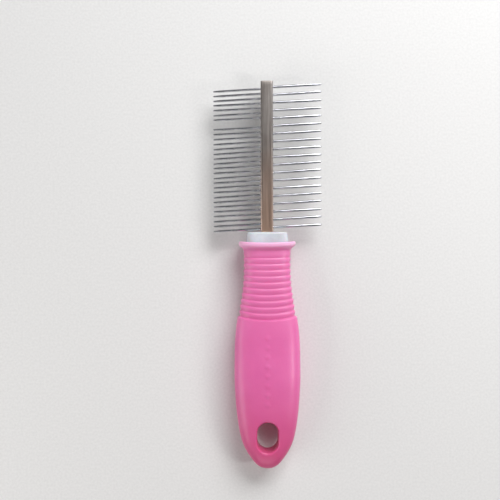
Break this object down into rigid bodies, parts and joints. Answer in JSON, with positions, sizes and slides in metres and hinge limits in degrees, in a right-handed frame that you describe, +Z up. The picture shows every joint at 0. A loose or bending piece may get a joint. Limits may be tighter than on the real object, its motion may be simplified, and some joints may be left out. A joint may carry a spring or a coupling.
{
  "type": "two-sided steel grooming comb",
  "caption": "Pet grooming comb: a flat steel spine with fine pins along one side and coarse pins along the other, a white collar and a soft ribbed grip with a hang hole.",
  "frame": {"origin": "On the surface the comb lies on, below the middle of its length and on the centreline of the spine and grip.", "axes": "+Y runs along the comb towards the free end of its head, +X across it towards the coarse pins, and +Z up out of its front face as it lies on its back."},
  "size_m": [0.0511, 0.182, 0.0173],
  "materials": {
    "spine_steel": "satin rolled steel with fine lengthwise marks and brighter worn edges",
    "pin_steel": "bright drawn steel wire, polished, with rounded tips",
    "collar_white": "glossy, slightly cloudy white moulded plastic",
    "grip_pink": "satin pink soft-touch moulded elastomer, slightly translucent at thin edges"
  },
  "bodies": {
    "root": {"spine_bar": "spine_steel", "handle_core": "collar_white", "grip_sleeve": "grip_pink", "coarse_pin_01": "pin_steel", "coarse_pin_02": "pin_steel", "coarse_pin_03": "pin_steel", "coarse_pin_04": "pin_steel", "coarse_pin_05": "pin_steel", "coarse_pin_06": "pin_steel", "coarse_pin_07": "pin_steel", "coarse_pin_08": "pin_steel", "coarse_pin_09": "pin_steel", "coarse_pin_10": "pin_steel", "coarse_pin_11": "pin_steel", "coarse_pin_12": "pin_steel", "coarse_pin_13": "pin_steel", "coarse_pin_14": "pin_steel", "coarse_pin_15": "pin_steel", "coarse_pin_16": "pin_steel", "coarse_pin_17": "pin_steel", "coarse_pin_18": "pin_steel", "coarse_pin_19": "pin_steel", "fine_pin_01": "pin_steel", "fine_pin_02": "pin_steel", "fine_pin_03": "pin_steel", "fine_pin_04": "pin_steel", "fine_pin_05": "pin_steel", "fine_pin_06": "pin_steel", "fine_pin_07": "pin_steel", "fine_pin_09": "pin_steel", "fine_pin_10": "pin_steel", "fine_pin_11": "pin_steel", "fine_pin_12": "pin_steel", "fine_pin_13": "pin_steel", "fine_pin_14": "pin_steel", "fine_pin_15": "pin_steel", "fine_pin_16": "pin_steel", "fine_pin_17": "pin_steel", "fine_pin_18": "pin_steel", "fine_pin_19": "pin_steel", "fine_pin_20": "pin_steel", "fine_pin_21": "pin_steel", "fine_pin_22": "pin_steel", "fine_pin_23": "pin_steel", "fine_pin_24": "pin_steel", "fine_pin_25": "pin_steel", "fine_pin_26": "pin_steel", "fine_pin_27": "pin_steel", "fine_pin_28": "pin_steel", "fine_pin_29": "pin_steel", "fine_pin_30": "pin_steel"}
  },
  "joints": []
}
